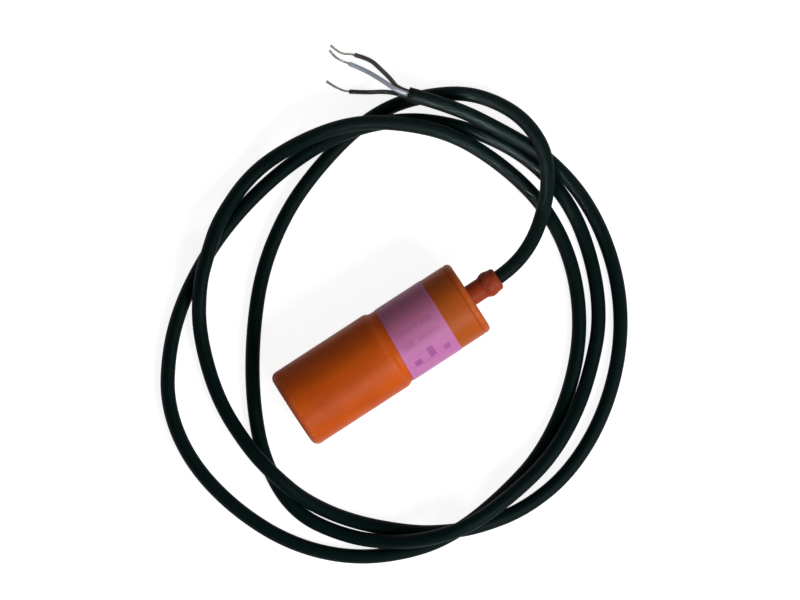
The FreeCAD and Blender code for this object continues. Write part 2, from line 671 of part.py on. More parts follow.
def make_trimmer_body():
    """Trimmer with the bore in which its adjusting screw turns."""
    bore = rod(TRIMMER_END_X - TRIMMER_SCREW_DEPTH - RUNNING, TRIMMER_END_X + CUT_PAST,
               TRIMMER_SCREW_RADIUS + RUNNING, -PORT_OFFSET, PORT_Z)
    return trimmer_block().cut(bore)


def make_trimmer_screw():
    """Adjusting screw that turns in the trimmer, its slotted head behind the port."""
    head_x = TRIMMER_END_X + RUNNING
    end = head_x + TRIMMER_HEAD_LENGTH
    shank = rod(TRIMMER_END_X - TRIMMER_SCREW_DEPTH, head_x, TRIMMER_SCREW_RADIUS, -PORT_OFFSET, PORT_Z)
    head = rod(head_x, end, TRIMMER_HEAD_RADIUS, -PORT_OFFSET, PORT_Z)
    half = TRIMMER_SLOT_WIDTH / 2
    reach = TRIMMER_HEAD_RADIUS + CUT_PAST
    slot = block(end - TRIMMER_SLOT_DEPTH, end + CUT_PAST, -PORT_OFFSET - reach, -PORT_OFFSET + reach,
                 PORT_Z - half, PORT_Z + half)
    return shank.fuse(head).removeSplitter().cut(slot)


def make_status_lamp():
    """Round lamp with a rim and a domed nose, on two leads bent down to the board."""
    rim_r = LAMP_RADIUS + LAMP_RIM_LIP
    body_x = LAMP_RIM_X + LAMP_RIM_THICKNESS
    dome_x = body_x + LAMP_BODY_LENGTH
    lamp = turned([
        (LAMP_RIM_X, 0),
        (LAMP_RIM_X, rim_r),
        (body_x, rim_r),
        (body_x, LAMP_RADIUS),
        (dome_x, LAMP_RADIUS),
        (*corner(LAMP_END_X, LAMP_RADIUS, LAMP_RADIUS, -1, -1), LAMP_END_X, 0),
    ], PORT_OFFSET, PORT_Z)
    half = LAMP_LEAD / 2
    foot_x = BOARD_END_X - LAMP_LEAD_FOOT
    leads = []
    for side in (-1, 1):
        y = PORT_OFFSET + side * LAMP_LEAD_PITCH / 2
        leads.append(block(foot_x, LAMP_RIM_X + half, y - half, y + half, PORT_Z - half, PORT_Z + half))
        leads.append(block(foot_x, foot_x + LAMP_LEAD, y - half, y + half, BOARD_TOP, PORT_Z + half))
    return lamp.fuse(leads).removeSplitter()


def make_casting_resin(set_in_resin):
    """Resin poured round the board and sleeve, up to the foot of the cable's cores."""
    fill = rod(CARRIER_BACK_X, RESIN_END_X, BORE_R - GLUE_LINE)
    return fill.cut(set_in_resin)


# The free cable beyond the gland

def free_core(colour, end, along):
    """Core beyond the stripped jacket, from its place in the jacket's end to its own cut end."""
    across = Vector(along.y, -along.x, 0).normalize()
    upward = across.cross(along).normalize()
    side, up = core_offset(colour)
    first = end + across * side + upward * up
    second = first + along * CORE_FIRST_RUN
    points = [tuple(first), tuple(second)] + CORE_ROUTES[colour]
    return bent_tube(points, CORE_R, f"core_{colour}")


def bare_strands(colour):
    """Bare end of a core's conductor, which leaves the core in line with it."""
    before, end = [Vector(*point) for point in CORE_ROUTES[colour][-2:]]
    along = (end - before).normalize()
    points = [tuple(end), tuple(end + along * STRAND_FIRST_RUN)] + STRAND_ROUTES[colour]
    return bent_tube(points, STRAND_R, f"strands_{colour}")


def main():
    parts = {
        "sensor_housing": make_sensor_housing(),
        "label_band": make_label_band(),
        "rear_cover": make_rear_cover(),
        "cover_seal_ring": make_cover_seal_ring(),
        "trimmer_plug": make_trimmer_plug(),
        "plug_seal_ring": make_plug_seal_ring(),
        "lamp_window": make_lamp_window(),
        "cable_gland": make_cable_gland(),
        "cable_crimp": make_cable_crimp(),
        "cable_inner_length": make_cable_inner_length(),
        "active_electrode": make_active_electrode(),
        "guard_ring": make_guard_ring(),
        "electrode_carrier": make_electrode_carrier(),
        "electrode_pin": electrode_pin(0, PIN_RADIUS, CARRIER_X),
        "guard_pin": electrode_pin(GUARD_PIN_OFFSET, PIN_RADIUS, CARRIER_X),
        "screening_sleeve": make_screening_sleeve(),
        "circuit_board": make_circuit_board(),
        "oscillator_chip": make_oscillator_chip(),
        "comparator_chip": make_comparator_chip(),
        "output_transistor": make_output_transistor(),
        "suppressor_diode": make_suppressor_diode(),
        "buffer_capacitor": make_buffer_capacitor(),
        "chip_resistors": chip_group(RESISTOR_SHARES, RESISTOR_LENGTH, RESISTOR_WIDTH, RESISTOR_HEIGHT),
        "chip_capacitors": chip_group(CAPACITOR_SHARES, CAPACITOR_LENGTH, CAPACITOR_WIDTH, CAPACITOR_HEIGHT),
        "trimmer_body": make_trimmer_body(),
        "trimmer_screw": make_trimmer_screw(),
        "status_lamp": make_status_lamp(),
    }
    for colour in CORE_ANGLES:
        parts[f"inner_core_{colour}"] = make_inner_core(colour)

    in_resin = [
        "electrode_pin", "guard_pin", "screening_sleeve", "circuit_board", "oscillator_chip",
        "comparator_chip", "output_transistor", "suppressor_diode", "buffer_capacitor", "chip_resistors",
        "chip_capacitors", "status_lamp", "inner_core_brown", "inner_core_blue", "inner_core_black",
    ]
    parts["casting_resin"] = make_casting_resin([parts[name] for name in in_resin] + [trimmer_block()])

    parts["cable_jacket"] = bent_tube(CABLE_ROUTE, CABLE_R, "cable_jacket")
    end = Vector(*CABLE_ROUTE[-1])
    along = (end - Vector(*CABLE_ROUTE[-2])).normalize()
    for colour in CORE_ANGLES:
        parts[f"core_{colour}"] = free_core(colour, end, along)
        parts[f"strands_{colour}"] = bare_strands(colour)

    os.makedirs("parts", exist_ok=True)
    for name, shape in parts.items():
        shape.exportStep(f"parts/{name}.step")


main()
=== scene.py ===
"""Capacitive level sensor: its finishes, its free cable and its stage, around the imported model.

Everything is in metres, in the model's own frame: +X along the barrel to the cable outlet, +Z up.
"""
import math

import bpy
import numpy as np
from bpy.props import FloatProperty, FloatVectorProperty, IntProperty, PointerProperty
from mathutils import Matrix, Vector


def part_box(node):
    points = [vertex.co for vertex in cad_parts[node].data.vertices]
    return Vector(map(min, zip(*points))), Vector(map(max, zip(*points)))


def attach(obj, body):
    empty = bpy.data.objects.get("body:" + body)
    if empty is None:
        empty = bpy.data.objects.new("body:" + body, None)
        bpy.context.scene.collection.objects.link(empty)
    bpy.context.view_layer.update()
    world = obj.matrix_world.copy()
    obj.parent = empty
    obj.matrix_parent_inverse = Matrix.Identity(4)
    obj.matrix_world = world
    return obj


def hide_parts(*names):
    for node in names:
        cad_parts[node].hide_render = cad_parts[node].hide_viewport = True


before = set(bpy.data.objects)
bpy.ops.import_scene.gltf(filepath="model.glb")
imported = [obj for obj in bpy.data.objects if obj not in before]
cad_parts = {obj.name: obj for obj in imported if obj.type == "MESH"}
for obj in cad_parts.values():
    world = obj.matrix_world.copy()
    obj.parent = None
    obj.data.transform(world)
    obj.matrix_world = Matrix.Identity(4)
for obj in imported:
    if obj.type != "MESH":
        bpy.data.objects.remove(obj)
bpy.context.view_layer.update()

bl_info = {
    "name": "Capacitive Level Sensor",
    "version": (1, 0, 0),
    "blender": (4, 5, 0),
    "location": "View3D > Sidebar > Sensor",
    "description": "Builds the cable, label, finishes and stage of a capacitive level sensor",
    "category": "Object",
}

BODY = "sensor"

# The barrel's own places, read from the model
HOUSING_LOW, HOUSING_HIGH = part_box("sensor_housing")
COVER_HIGH_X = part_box("rear_cover")[1][0]
LABEL_LOW, LABEL_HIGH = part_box("label_band")
AXIS_Z = (HOUSING_LOW[2] + HOUSING_HIGH[2]) / 2
FACE_X = HOUSING_LOW[0]
LABEL_MIDDLE_X = (LABEL_LOW[0] + LABEL_HIGH[0]) / 2
REAR_LENGTH = 0.041
SHOULDER_X = COVER_HIGH_X - REAR_LENGTH
BARREL_STEP = 0.001
FILM_CLEARANCE = 0.00002
FILM_CORNER = 0.00005
FILM_COLUMNS = 24
FILM_ROWS = 361

# The label's lap: how long before its closing line the film starts to climb over its own start, and how
# long it climbs, both as shares of the overlap, and how high it climbs, in film thicknesses
LAP_START = 0.9
LAP_RISE = 0.3
LAP_HEIGHT = 1.02

# Stretches along the barrel whose edges are paler, from handling wear and from a painted highlight where
# the rounded edges catch light: front edge, shoulder and cover edge
RUBBED_AND_HIGHLIT_BANDS = [
    (FACE_X + 0.0004, FACE_X + 0.0030),
    (SHOULDER_X, SHOULDER_X + 0.0006),
    (COVER_HIGH_X - 0.0020, COVER_HIGH_X - 0.0005),
]
PALER_BAND_SOFTNESS = 0.0007

# The housing's browner, darker rear: how it differs from its colour in each channel, how softly it starts,
# and where along the barrel it fades again
DARKER_REAR_SHARES = (0.68, 0.89, 1.5)
DARKER_REAR_RISE = 0.012
DARKER_REAR_FADE = (COVER_HIGH_X - 0.011, COVER_HIGH_X - 0.002)

# Painted shade on the label's back, the side turned away from the key lamp: how it differs from its
# colour, and from where to where round the label it starts
PAINTED_SHADE_SHARES = (0.94, 0.88, 0.62)
PAINTED_SHADE_RISE = (-0.009, 0.010)

# The label's paler rim, and how soft its border is
RIM_WIDTH = 0.0006
RIM_EDGE = 0.0002

# Plain printed fields: from and to along the barrel from the label's middle, and from and to round it
DARK_FIELDS = [
    (-0.0084, -0.0052, -0.0139, -0.0109),
    (-0.0014, 0.0014, -0.0137, -0.0084),
    (0.0050, 0.0078, -0.0146, -0.0118),
]
FAINT_FIELDS = [
    (-0.0086, -0.0040, -0.0048, -0.0022),
    (-0.0020, 0.0078, -0.0042, -0.0028),
    (-0.0086, 0.0010, 0.0016, 0.0028),
    (0.0026, 0.0078, 0.0010, 0.0034),
    (-0.0086, 0.0078, 0.0112, 0.0116),
]
PRINT_EDGE = 0.00012

# The cable's route: out of the gland, down over the loops, three times round, and back over the first loop
CABLE_R = 0.00295
LOW = CABLE_R
CABLE_ROUTE = [
    (0.0465, 0, 0.017), (0.0555, 0, 0.017), (0.068, 0.004, 0.0155), (0.0785, 0.0115, 0.013),
    (0.0875, 0.021, 0.0135), (0.0935, 0.033, 0.0135), (0.0935, 0.0465, 0.0111), (0.089, 0.058, 0.0063),
    (0.0805, 0.069, LOW), (0.068, 0.0765, LOW), (0.052, 0.082, LOW), (0.034, 0.082, LOW),
    (0.0125, 0.077, LOW), (-0.008, 0.069, LOW), (-0.029, 0.0545, LOW), (-0.0465, 0.0345, LOW),
    (-0.061, 0.012, LOW), (-0.0705, -0.011, LOW), (-0.0715, -0.035, LOW), (-0.0595, -0.054, LOW),
    (-0.045, -0.0665, 0.008), (-0.03, -0.074, 0.0165), (-0.013, -0.078, 0.0165),
    (0.0085, -0.0765, 0.0114), (0.028, -0.0725, 0.0095), (0.0465, -0.063, 0.0073), (0.061, -0.0515, LOW),
    (0.075, -0.037, LOW), (0.085, -0.0165, LOW), (0.0905, 0.0075, LOW), (0.0875, 0.031, LOW),
    (0.077, 0.0515, LOW), (0.0615, 0.0685, 0.0041), (0.0445, 0.0785, 0.0098), (0.0255, 0.084, 0.0098),
    (0.003, 0.0845, LOW), (-0.0205, 0.0805, LOW), (-0.0415, 0.0735, LOW), (-0.063, 0.0615, LOW),
    (-0.0785, 0.0475, LOW), (-0.091, 0.0295, LOW), (-0.0955, 0.006, LOW), (-0.091, -0.02, LOW),
    (-0.0795, -0.045, LOW), (-0.061, -0.064, LOW), (-0.0375, -0.075, LOW), (-0.018, -0.0775, LOW),
    (0.0035, -0.075, LOW), (0.0255, -0.0695, LOW), (0.048, -0.0555, LOW), (0.0665, -0.036, LOW),
    (0.078, -0.0125, LOW), (0.0815, 0.0115, LOW), (0.077, 0.0345, LOW), (0.0665, 0.058, 0.0083),
    (0.0505, 0.074, 0.0159), (0.0335, 0.085, 0.0171), (0.0115, 0.09, 0.0112), (-0.011, 0.09, 0.0035),
    (-0.0325, 0.081, 0.0088), (-0.0435, 0.072, 0.0106), (-0.0535, 0.063, 0.01),
    (-0.0645, 0.0465, 0.0033), (-0.0725, 0.0205, LOW), (-0.0725, -0.0035, 0.0101),
    (-0.0695, -0.019, 0.0101), (-0.065, -0.0335, 0.0059), (-0.054, -0.0505, LOW),
    (-0.0365, -0.067, 0.0053), (-0.0245, -0.0745, 0.0099), (-0.0125, -0.08, 0.0098),
    (0.0075, -0.0845, 0.0033), (0.031, -0.082, LOW), (0.0555, -0.07, LOW), (0.077, -0.05, LOW),
    (0.091, -0.0255, LOW), (0.097, 0.0035, LOW), (0.0935, 0.029, 0.0066), (0.0835, 0.0485, 0.0087),
    (0.072, 0.068, 0.0092), (0.0595, 0.082, 0.0098),
]
CORE_LAY = 0.07
JACKET_RIDGE = 0.004
CABLE_STEPS = 14

# Cut ends of the jacket and of a core: steps past the end in metres, and shares of the radius there
CUT_JACKET = [(0.0, 0.93), (0.00005, 0.88), (0.0, 0.82), (-0.0001, 0.80), (-0.0005, 0.79)]
CUT_CORE = [(0.00003, 0.92), (0.00003, 0.62), (-0.0002, 0.56)]

# The cores beyond the stripped jacket, and the bare strands beyond each core
CORE_LOW = 0.00095
STRAND_LOW = 0.0005
CORE_ROUTES = {
    "brown": [(0.0569, 0.091, 0.0071), (0.0556, 0.097, 0.0041), (0.0542, 0.1026, 0.0015),
              (0.05, 0.1072, CORE_LOW)],
    "blue": [(0.0546, 0.0902, 0.0085), (0.0519, 0.0963, 0.0051), (0.0489, 0.1016, 0.002),
             (0.0462, 0.1054, CORE_LOW)],
    "black": [(0.0519, 0.0882, 0.0069), (0.046, 0.0916, 0.0028), (0.0402, 0.0959, CORE_LOW)],
}
STRAND_ROUTES = {
    "brown": [(0.0466, 0.1098, STRAND_LOW), (0.0449, 0.1124, STRAND_LOW), (0.044, 0.1158, STRAND_LOW)],
    "blue": [(0.044, 0.1086, STRAND_LOW), (0.0428, 0.1112, STRAND_LOW), (0.0425, 0.1143, STRAND_LOW)],
    "black": [(0.0376, 0.0986, STRAND_LOW), (0.036, 0.1013, STRAND_LOW), (0.0346, 0.1045, STRAND_LOW)],
}
CORE_ANGLES = {"brown": 330, "blue": 90, "black": 210}
CORE_SPREAD = 0.00116
CORE_SIDES = 24
CORE_DENT = 0.012
CORE_DENT_LENGTHS = (0.0021, 0.0034)
CORE_RECESS = 0.0005
CORE_FIRST_RUN = 0.0046
STRAND_RECESS = 0.0003
STRAND_FIRST_RUN = 0.0016
STRAND_STEPS = 12
STRAND_SEED = 40
WIRE_SIDES = 6

# One bundle of bare wires: wires in each layer, how many wire radii out they lie, and a shift in wire steps
WIRE_LAYERS = [(1, 0, 0.0), (6, 2, 0.0), (12, 4, 0.5)]

# How far the wires spread at the bundle's end: least and most share of their layer's radius, and the drift
# of their angle
FRAY = (0.05, 0.55)
DRIFT = 0.35

CORE_COLOURS = {"brown": (76, 66, 63), "blue": (200, 208, 224), "black": (24, 30, 30)}

# The photograph's view, straight down, with its own turn about the vertical
VIEW_CENTRE = (0.0114, 0.014)
VIEW_WIDTH = 0.3239
VIEW_TURN = -33.0
VIEW_HEIGHT = 4.0
SENSOR_WIDTH = 36.0

# Lamps: turn about the vertical and height above the ground in degrees, distance and size in metres
LAMP_DISTANCE = 1.1
KEY_TURN = -78
KEY_SIZE = 0.55
SIDE_TURN = 14
SIDE_HEIGHT = 50
SIDE_SIZE = 0.8
SHEEN_TURN = -158
SHEEN_HEIGHT = 52
SHEEN_DISTANCE = 0.75
SHEEN_SIZE = 0.08
SHEEN_SPREAD = 6.5
SHEEN_AIM = (0.094, 0.058, 0.0)

# The sine of the height above the horizon at which the ceiling starts, and at which it is all ceiling
CEILING_RISE = (0.25, 0.8)

# Ground: half its width, how much light it spreads, and how brightly it is seen
GROUND_REACH = 1.5
GROUND_SPREAD = 0.45
GROUND_GLOW = 0.87
WHITE = (1.0, 1.0, 1.0)


def srgb(red, green, blue):
    """Linear colour of three screen values from 0 to 255."""
    screen = np.array([red, green, blue]) / 255
    linear = np.where(screen <= 0.04045, screen / 12.92, ((screen + 0.055) / 1.055) ** 2.4)
    return tuple(float(v) for v in linear)


def shaded(colour, share, lift=0.0):
    """Colour times a share, with a plain amount added, and never past white."""
    return tuple(min(1.0, c * share + lift) for c in colour)


def colour_property(name, description, red, green, blue):
    """Colour setting whose default is given as screen values."""
    return FloatVectorProperty(
        name=name, description=description, subtype="COLOR", size=3, min=0, max=1,
        default=srgb(red, green, blue))


class CableSettings(bpy.types.PropertyGroup):
    """Sizes of the free cable."""
    jacket_diameter: FloatProperty(
        name="Jacket diameter", description="Outer diameter of the cable", default=2 * CABLE_R,
        min=0.003, max=0.01, unit="LENGTH")
    core_diameter: FloatProperty(
        name="Core diameter", description="Outer diameter of one insulated core", default=2 * CORE_LOW,
        min=0.001, max=0.0024, unit="LENGTH")
    bundle_diameter: FloatProperty(
        name="Bundle diameter", description="Diameter of one core's bundle of bare wires",
        default=2 * STRAND_LOW, min=0.0005, max=0.0015, unit="LENGTH")
    lay_length: FloatProperty(
        name="Lay length", description="Length in which the bare wires turn once about their bundle",
        default=0.011, min=0.004, max=0.04, unit="LENGTH")
    sides: IntProperty(
        name="Sides", description="Faces around the jacket", default=32, min=12, max=64)


class LabelSettings(bpy.types.PropertyGroup):
    """Sizes of the label band."""
    film: FloatProperty(
        name="Film", description="Thickness of the label film", default=0.00018, min=0.00005, max=0.0002,
        unit="LENGTH")
    front_slant: FloatProperty(
        name="Front slant", description="How far the edge towards the sensing face leans from square",
        default=0.001, min=-0.001, max=0.001, unit="LENGTH")
    rear_slant: FloatProperty(
        name="Rear slant", description="How far the edge towards the cable leans from square",
        default=0.0003, min=-0.002, max=0.002, unit="LENGTH")
    overlap: FloatProperty(
        name="Overlap", description="Angle by which the film's end lies over its start", default=0.14,
        min=0.02, max=0.5, unit="ROTATION")


class FinishSettings(bpy.types.PropertyGroup):
    """Colours of the visible pieces."""
    housing: colour_property("Housing", "Moulded front and rear of the barrel", 200, 85, 16)
    housing_dark: colour_property("Housing shade", "Browner streaks in the moulding", 170, 65, 10)
    gland: colour_property("Gland", "Moulded cable gland", 153, 58, 30)
    label: colour_property("Label", "Film of the label band", 189, 112, 167)
    label_print: colour_property("Label print", "Fields printed on the label", 132, 62, 130)
    jacket: colour_property("Jacket", "Outside of the cable", 0, 17, 16)
    tin: colour_property("Tin", "Tinned copper wires", 198, 195, 190)


class StageSettings(bpy.types.PropertyGroup):
    """Light and ground."""
    key_power: FloatProperty(
        name="Key power", description="Power of the main soft lamp", default=11.5, min=0, max=100,
        unit="POWER")
    key_height: FloatProperty(
        name="Key height", description="Angle of the main lamp above the ground", default=math.radians(38),
        min=0.1, max=1.5, subtype="ANGLE")
    side_power: FloatProperty(
        name="Side power", description="Power of the weaker lamp on the cable's side", default=1.0, min=0,
        max=100, unit="POWER")
    sheen_power: FloatProperty(
        name="Sheen power", description="Power of the narrow lamp that only shows as gloss on the far loops",
        default=0.13, min=0, max=100, unit="POWER")
    sky: FloatProperty(
        name="Sky", description="Strength of the even light from all sides", default=0.13, min=0, max=1,
        subtype="FACTOR")
    ceiling: FloatProperty(
        name="Ceiling", description="How bright the ceiling is in reflections", default=0.2, min=0, max=1,
        subtype="FACTOR")


# Shader maths

class Value:
    """A shader socket on which Python's operators add Math nodes."""

    def __init__(self, sheet, socket):
        self.sheet = sheet
        self.socket = socket

    def __add__(self, other):
        return self.sheet.maths("ADD", self, other)

    def __sub__(self, other):
        return self.sheet.maths("SUBTRACT", self, other)

    def __rsub__(self, other):
        return self.sheet.maths("SUBTRACT", other, self)

    def __mul__(self, other):
        return self.sheet.maths("MULTIPLY", self, other)

    __radd__ = __add__
    __rmul__ = __mul__

    def step(self, start, end):
        """Smooth rise from 0 at start to 1 at end."""
        return self.sheet.add(
            "ShaderNodeMapRange", {"interpolation_type": "SMOOTHSTEP"},
            {"Value": self, "From Min": start, "From Max": end})

    def between(self, low, high, soft):
        """1 inside a range with soft ends, and 0 outside."""
        return self.step(low - soft, low + soft) * (1 - self.step(high - soft, high + soft))


class Sheet:
    """The nodes of one material, or of the world."""

    def __init__(self, owner):
        owner.use_nodes = True
        self.owner = owner
        self.tree = owner.node_tree
        self.tree.nodes.clear()

    def add(self, kind, settings=None, inputs=None, output=0):
        """Adds a node of a type, makes its settings, fills its sockets and returns one of its outputs."""
        node = self.tree.nodes.new(kind)
        for key, setting in (settings or {}).items():
            setattr(node, key, setting)
        for key, value in (inputs or {}).items():
            self.fill(node.inputs[key], value)
        return Value(self, node.outputs[output])

    def fill(self, socket, value):
        """Links a value to a socket, or sets the socket to plain numbers."""
        if isinstance(value, Value):
            self.tree.links.new(value.socket, socket)
        elif isinstance(value, (tuple, list)) and len(value) == 3 and len(socket.default_value) == 4:
            socket.default_value = (*value, 1.0)
        else:
            socket.default_value = value

    def maths(self, operation, first, second):
        """One Math node."""
        return self.add("ShaderNodeMath", {"operation": operation}, {0: first, 1: second})

    def blend(self, factor, first, second):
        """Mixes two colours."""
        return self.add("ShaderNodeMix", {"data_type": "RGBA"}, {0: factor, 6: first, 7: second}, 2)

    def object_place(self):
        """Object coordinates, in metres."""
        return self.add("ShaderNodeTexCoord", output="Object")

    def surface_place(self):
        """The piece's own UV map: turns around, and metres along."""
        return self.add("ShaderNodeUVMap", {"uv_map": "surface"})

    def axes(self, place):
        """The three numbers of a place."""
        parts = self.add("ShaderNodeSeparateXYZ", inputs={0: place})
        outputs = parts.socket.node.outputs
        return [Value(self, outputs[i]) for i in range(3)]

    def noise(self, place, scale, detail=3.0, roughness=0.5):
        """Soft noise from 0 to 1. Three scales, one for each axis, give grain that runs one way."""
        if isinstance(scale, tuple):
            place = self.add("ShaderNodeMapping", inputs={"Vector": place, "Scale": scale})
            scale = 1.0
        return self.add(
            "ShaderNodeTexNoise", {"noise_dimensions": "3D"},
            {"Vector": place, "Scale": scale, "Detail": detail, "Roughness": roughness})

    def bump(self, height, depth, strength=1.0):
        """Surface normal from a height in units of depth, in metres."""
        return self.add("ShaderNodeBump", inputs={"Height": height, "Strength": strength, "Distance": depth},
                        output="Normal")

    def shader(self, **sockets):
        """Principled shader with its sockets filled. Underscores in the names stand for spaces."""
        named = {key.replace("_", " "): value for key, value in sockets.items()}
        surface = self.add("ShaderNodeBsdfPrincipled", inputs=named)
        return self.finish(surface)

    def finish(self, surface, kind="ShaderNodeOutputMaterial"):
        """Sends a shader to the output and returns the finished material or world."""
        output = self.tree.nodes.new(kind)
        self.tree.links.new(surface.socket, output.inputs["Surface"])
        return self.owner


def new_material(name):
    """Nodes of a new material."""
    return Sheet(bpy.data.materials.new(name))


# Materials

def moulded_plastic(name, colour, shade, roughness=0.42, darker_from=None, rubbed_and_highlit_bands=()):
    """Satin moulding: flow streaks along the barrel, fine spark-eroded grain, and a few pale scratches.

    From a given place along the barrel on, the colour is a little browner and darker, and near the rear end
    it fades partly back.
    The last argument lists pairs of places along the barrel between which the edges are paler: handling
    wear, and a painted highlight where the rounded edges catch light.
    """
    sheet = new_material(name)
    place = sheet.object_place()
    along = sheet.axes(place)[0]
    streaks = sheet.noise(place, (25, 90, 90), 4, 0.55)
    clouds = sheet.noise(place, 45, 3, 0.5)
    speckle = sheet.noise(place, 2600, 2, 0.6)
    shading = (streaks * 0.7 + clouds * 0.5 - 0.28).step(0.12, 0.62)
    body = sheet.blend(shading, colour, shade)
    body = sheet.blend(speckle.step(0.55, 0.8) * 0.12, body, shaded(colour, 0.55))
    if darker_from is not None:
        # Browner and darker from the given place back, fading partly again near the rear end
        darker_rear = along.step(darker_from, darker_from + DARKER_REAR_RISE) * (0.9 - along.step(*DARKER_REAR_FADE) * 0.4)
        body = sheet.blend(darker_rear, body, tuple(c * k for c, k in zip(colour, DARKER_REAR_SHARES)))
    lines = sheet.noise(place, (70, 760, 760), 1, 0.4)
    scratches = lines.step(0.70, 0.78) * sheet.noise(place, 60, 2, 0.5).step(0.50, 0.64)
    body = sheet.blend(scratches * 0.16, body, shaded(colour, 0.7, 0.3))
    # Paler edge bands: handling wear, and a painted highlight where the rounded edges catch light
    for low, high in rubbed_and_highlit_bands:
        band = along.between(low, high, PALER_BAND_SOFTNESS) * sheet.noise(place, 420, 4, 0.65).step(0.3, 0.7)
        body = sheet.blend(band * 0.26, body, shaded(colour, 1.1, 0.1))
    grain = sheet.noise(place, 5200, 2, 0.55)
    ripple = sheet.noise(place, 140, 2, 0.5)
    normal = sheet.bump(grain * 0.35 + ripple * 0.9 + scratches * 0.5, 0.00006, 0.5)
    rough = grain * 0.10 + clouds * 0.10 + (roughness - 0.08) + scratches * 0.12
    return sheet.shader(Base_Color=body, Roughness=rough, Normal=normal, Specular_IOR_Level=0.1)


def label_film(name, colour, print_colour, middle_x, low_x, high_x):
    """Satin printed film: dark and faint plain fields, creases, dust, paler edges, and painted shade on its
    back.
    """
    sheet = new_material(name)
    place = sheet.object_place()
    x, y, z = sheet.axes(place)
    around = sheet.maths("ARCTAN2", y, z - AXIS_Z) * (LABEL_HIGH[2] - AXIS_Z)
    along = x - middle_x

    def printed(fields):
        """1 inside any of the fields, and 0 outside."""
        return sum(along.between(x0, x1, PRINT_EDGE) * around.between(a0, a1, PRINT_EDGE)
                   for x0, x1, a0, a1 in fields)

    ink = printed(DARK_FIELDS)
    faint = printed(FAINT_FIELDS)
    wear = sheet.noise(place, 160, 2, 0.5).step(0.2, 0.6) * 0.4 + 0.6
    dust = sheet.noise(place, 90, 3, 0.5)
    creases = sheet.noise(place, (30, 210, 210), 3, 0.55)
    body = sheet.blend(dust.step(0.35, 0.75) * 0.30, colour, shaded(colour, 0.8))
    body = sheet.blend(creases.step(0.45, 0.75) * 0.35, body, shaded(colour, 0.7))
    body = sheet.blend(creases.step(0.48, 0.26) * 0.34, body, shaded(colour, 1.15, 0.06))
    # Painted shade: the film is darker and less blue round its back, the side turned away from the key lamp
    painted_shade_colour = tuple(c * k for c, k in zip(colour, PAINTED_SHADE_SHARES))
    body = sheet.blend(around.step(*PAINTED_SHADE_RISE) * 0.85, body, painted_shade_colour)
    body = sheet.blend(faint * wear * 0.20, body, print_colour)
    body = sheet.blend(ink * wear * 0.66, body, print_colour)
    inside = x.between(low_x + RIM_WIDTH, high_x - RIM_WIDTH, RIM_EDGE)
    body = sheet.blend((1 - inside) * 0.35, body, shaded(colour, 1.15))
    wrinkle = sheet.noise(place, (60, 160, 160), 2, 0.5)
    fibre = sheet.noise(place, 3500, 2, 0.5)
    normal = sheet.bump(wrinkle + fibre * 0.08 + ink * 0.02, 0.00012, 0.5)
    return sheet.shader(Base_Color=body, Roughness=fibre * 0.1 + dust * 0.08 + 0.34, Normal=normal,
                        Specular_IOR_Level=0.15)


def extruded_plastic(name, colour, roughness=0.38, gloss=0.35):
    """Extruded insulation: fine lines along it, cloudy gloss and a little handling dust."""
    sheet = new_material(name)
    place = sheet.object_place()
    lines = sheet.noise(sheet.surface_place(), (60, 260, 1), 3, 0.6)
    clouds = sheet.noise(place, 70, 3, 0.5)
    dust = sheet.noise(place, 1900, 3, 0.65).step(0.58, 0.76) * clouds.step(0.42, 0.7)
    body = sheet.blend(lines.step(0.3, 0.8) * 0.3, colour, shaded(colour, 0.6))
    body = sheet.blend(dust * 0.16, body, shaded(colour, 0.5, 0.16))
    grain = sheet.noise(place, 4200, 2, 0.5)
    normal = sheet.bump(lines * 0.25 + grain * 0.25, 0.00004, 0.5)
    rough = clouds * 0.14 + lines * 0.08 + dust * 0.2 + (roughness - 0.08)
    return sheet.shader(Base_Color=body, Roughness=rough, Normal=normal, Specular_IOR_Level=gloss)


def drawn_metal(name, colour, roughness=0.28, scale=900):
    """Bare metal with drawing lines and a slight dulling."""
    sheet = new_material(name)
    place = sheet.object_place()
    lines = sheet.noise(place, (scale, 4 * scale, 4 * scale), 3, 0.6)
    dull = sheet.noise(place, 260, 3, 0.5)
    body = sheet.blend(dull.step(0.4, 0.75) * 0.5, colour, shaded(colour, 0.62))
    rough = lines * 0.14 + dull * 0.16 + (roughness - 0.1)
    return sheet.shader(Base_Color=body, Roughness=rough, Metallic=1.0,
                        Normal=sheet.bump(lines, 0.00002, 0.4))


def speckled_solid(name, colour, second, roughness=0.5, scale=1500):
    """Plain solid with fine speckle, for laminate, resin, ceramic and moulded chips."""
    sheet = new_material(name)
    place = sheet.object_place()
    speckle = sheet.noise(place, scale, 3, 0.6)
    clouds = sheet.noise(place, scale / 12, 2, 0.5)
    body = sheet.blend(speckle.step(0.4, 0.7) * 0.25 + clouds * 0.125, colour, second)
    rough = speckle * 0.12 + clouds * 0.1 + (roughness - 0.1)
    return sheet.shader(Base_Color=body, Roughness=rough, Normal=sheet.bump(speckle, 0.00002, 0.4))


def clear_plastic(name, colour, alpha):
    """Polished clear plastic with a faint haze."""
    sheet = new_material(name)
    haze = sheet.noise(sheet.object_place(), 900, 3, 0.5)
    body = sheet.blend(haze * 0.3, colour, shaded(colour, 0.8))
    return sheet.shader(Base_Color=body, Roughness=haze * 0.12 + 0.06, Alpha=alpha, IOR=1.5)


def soft_rubber(name, colour):
    """Matt rubber with a fine bloom."""
    sheet = new_material(name)
    bloom = sheet.noise(sheet.object_place(), 1200, 3, 0.6)
    body = sheet.blend(bloom.step(0.4, 0.8) * 0.3, colour, shaded(colour, 0.5, 0.05))
    return sheet.shader(Base_Color=body, Roughness=bloom * 0.15 + 0.62,
                        Normal=sheet.bump(bloom, 0.00003, 0.4))


# Surfaces

